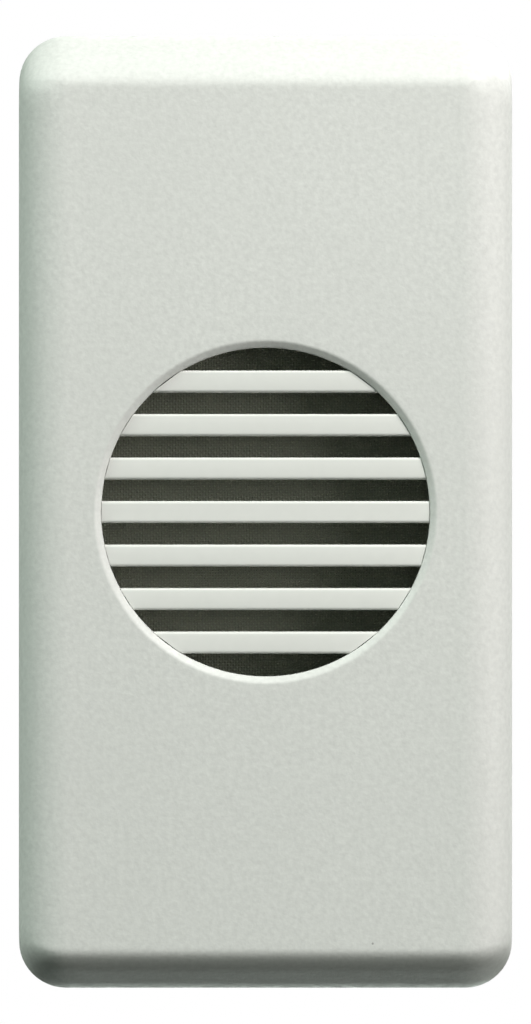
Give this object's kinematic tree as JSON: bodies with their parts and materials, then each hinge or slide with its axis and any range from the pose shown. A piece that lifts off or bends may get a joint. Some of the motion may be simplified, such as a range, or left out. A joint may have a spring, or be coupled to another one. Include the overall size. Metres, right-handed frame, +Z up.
{
  "type": "doorbell bell insert",
  "caption": "Narrow modular doorbell insert: moulded front with a round barred grille, snap-in body with an electromagnet, swinging hammer, gong and screw terminals.",
  "frame": {"origin": "middle of the plane where the flange's rear face seats on the wall frame", "axes": "+X to the right seen from the front, +Y into the wall, +Z up; the face looks along -Y"},
  "size_m": [0.0232, 0.037, 0.045],
  "materials": {
    "cover_plastic": "fine matt grain, light grey",
    "grille_plastic": "smooth satin, lighter grey",
    "screen_cloth": "dark woven cloth",
    "housing_plastic": "dark grey moulded",
    "strap_steel": "zinc plated",
    "soft_iron": "bare soft iron",
    "spring_steel": "bright spring steel",
    "screw_steel": "zinc plated",
    "bobbin_nylon": "natural nylon",
    "winding_copper": "enamelled copper wire",
    "coil_tape": "polyester tape",
    "lead_blue": "soft insulation",
    "lead_red": "soft insulation",
    "bumper_rubber": "soft rubber",
    "gong_bronze": "spun bronze",
    "brass": "turned and stamped brass",
    "washer_fibre": "red vulcanised fibre"
  },
  "bodies": {
    "housing": {"rear_housing": "housing_plastic", "yoke": "strap_steel", "core": "soft_iron", "bobbin": "bobbin_nylon", "winding": "winding_copper", "coil_tape": "coil_tape", "lead_left": "lead_blue", "lead_right": "lead_red", "pivot_pin": "spring_steel", "return_spring": "spring_steel", "rest_bumper": "bumper_rubber", "gong_post": "brass", "gong_washers": "washer_fibre", "gong": "gong_bronze", "gong_screw": "screw_steel", "yoke_screws": "screw_steel", "terminal_bar_left": "brass", "terminal_bar_right": "brass"},
    "cover": {"front_cover": "cover_plastic", "sound_grille": "grille_plastic", "dust_screen": "screen_cloth"},
    "hammer": {"armature": "soft_iron", "hammer_blade": "spring_steel", "blade_rivets": "brass", "hammer_head": "brass"},
    "screw_left": {"terminal_screw_left": "screw_steel"},
    "screw_right": {"terminal_screw_right": "screw_steel"},
    "cage_left": {"terminal_cage_left": "strap_steel"},
    "cage_right": {"terminal_cage_right": "strap_steel"}
  },
  "joints": [
    {"name": "cover_pull", "type": "slide", "parent": "housing", "child": "cover", "axis": [0, -1, 0], "range_m": [0, 0.03]},
    {"name": "hammer_swing", "type": "hinge", "parent": "housing", "child": "hammer", "pos_m": [0, 0.02, 0.0114], "axis": [1, 0, 0], "range_deg": [0, 4.9], "stiffness_Nm_per_rad": 0.005, "springref_deg": -8.59, "deforming": ["return_spring"]},
    {"name": "terminal_screw_left_turn", "type": "hinge", "parent": "housing", "child": "screw_left", "pos_m": [-0.005, 0.024, -0.01545], "axis": [0, -1, 0], "range_deg": [0, 1080]},
    {"name": "terminal_cage_left_rise", "type": "slide", "parent": "housing", "child": "cage_left", "axis": [0, 1, 0], "range_m": [0, 0.0018]},
    {"name": "terminal_screw_right_turn", "type": "hinge", "parent": "housing", "child": "screw_right", "pos_m": [0.005, 0.024, -0.01545], "axis": [0, -1, 0], "range_deg": [0, 1080]},
    {"name": "terminal_cage_right_rise", "type": "slide", "parent": "housing", "child": "cage_right", "axis": [0, 1, 0], "range_m": [0, 0.0018]}
  ],
  "couplings": [
    {"joint": "terminal_screw_left_turn", "follows": "terminal_cage_left_rise", "rad_per_m": 10472},
    {"joint": "terminal_screw_right_turn", "follows": "terminal_cage_right_rise", "rad_per_m": 10472}
  ]
}
